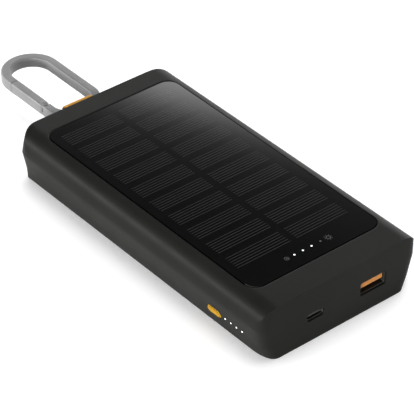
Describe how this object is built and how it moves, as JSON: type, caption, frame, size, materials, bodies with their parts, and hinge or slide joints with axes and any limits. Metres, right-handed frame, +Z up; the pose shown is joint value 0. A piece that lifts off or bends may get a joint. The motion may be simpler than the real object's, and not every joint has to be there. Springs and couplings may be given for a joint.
{
  "type": "solar phone charger",
  "caption": "Flat dark grey battery pack with a black solar panel in its top, charging ports at one end and a carabiner on an orange strap at the other.",
  "frame": {"origin": "centre of the flat underside of the case, the plane it rests on", "axes": "+X right along the port face, +Y from the port face to the strap end, +Z up through the solar panel"},
  "size_m": [0.0802, 0.2145, 0.0257],
  "materials": {
    "aluminium_can": "capacitor can",
    "black_plastic": "black moulded plastic",
    "board_green": "green circuit board",
    "button_plastic": "yellow-orange satin plastic",
    "case_plastic": "dark grey ABS, fine satin moulded texture",
    "cell_foil": "laminated pouch foil",
    "foam_tape": "black foam tape",
    "led_white": "small light body",
    "light_guide": "milky clear light guide",
    "orange_plastic": "orange moulded insulator",
    "panel_glass": "black glossy PET face of the solar panel",
    "ring_metal": "satin grey coated aluminium",
    "solar_cells": "dark silicon cells on a laminate board",
    "steel": "plated steel",
    "strap_orange": "orange woven strap",
    "usb_steel": "folded stainless steel",
    "wire_black": "black wire insulation",
    "wire_blue": "blue wire insulation",
    "wire_red": "red wire insulation",
    "wire_yellow": "yellow wire insulation"
  },
  "bodies": {
    "case": {"battery_cell_lower": "cell_foil", "battery_cell_upper": "cell_foil", "battery_foam": "foam_tape", "battery_lead_negative": "wire_black", "battery_lead_positive": "wire_red", "board_screw_1": "steel", "board_screw_2": "steel", "bottom_cover": "case_plastic", "capacitor_1": "aluminium_can", "capacitor_2": "aluminium_can", "charge_chip": "black_plastic", "controller_chip": "black_plastic", "cover_screw_1": "steel", "cover_screw_2": "steel", "cover_screw_3": "steel", "cover_screw_4": "steel", "cover_screw_5": "steel", "cover_screw_6": "steel", "housing_shell": "case_plastic", "indicator_strip": "board_green", "inductor": "black_plastic", "main_board": "board_green", "panel_tape": "foam_tape", "side_led_1": "led_white", "side_led_2": "led_white", "side_led_3": "led_white", "side_led_4": "led_white", "side_light_guide": "light_guide", "side_switch": "black_plastic", "solar_cell_board": "solar_cells", "solar_glass": "panel_glass", "solar_lead_negative": "wire_blue", "solar_lead_positive": "wire_yellow", "strap_anchor_pin": "steel", "strap_bracket": "black_plastic", "strap_screw_1": "steel", "strap_screw_2": "steel", "strap_tail": "strap_orange", "usb_a_shell": "usb_steel", "usb_a_tongue": "orange_plastic", "usb_c_riser": "black_plastic", "usb_c_shell": "usb_steel", "usb_c_tongue": "black_plastic"},
    "button": {"power_button": "button_plastic", "switch_plunger": "light_guide"},
    "strap": {"strap_loop": "strap_orange"},
    "carabiner": {"carabiner_frame": "ring_metal", "gate_pin": "steel"},
    "gate": {"carabiner_gate": "ring_metal", "gate_spring": "steel"}
  },
  "joints": [
    {"name": "button_press", "type": "slide", "parent": "case", "child": "button", "axis": [1, 0, 0], "range_m": [0, 0.0004], "stiffness_N_per_m": 800},
    {"name": "strap_flex", "type": "hinge", "parent": "case", "child": "strap", "pos_m": [0, 0.0777, 0.0135], "axis": [1, 0, 0], "range_deg": [-25, 25]},
    {"name": "carabiner_swing", "type": "hinge", "parent": "strap", "child": "carabiner", "pos_m": [0, 0.0879, 0.0135], "axis": [1, 0, 0], "range_deg": [-90, 90]},
    {"name": "gate_open", "type": "hinge", "parent": "carabiner", "child": "gate", "pos_m": [-0.01125, 0.09865, 0.0135], "axis": [0, 0, -1], "range_deg": [0, 28], "stiffness_Nm_per_rad": 0.02}
  ]
}
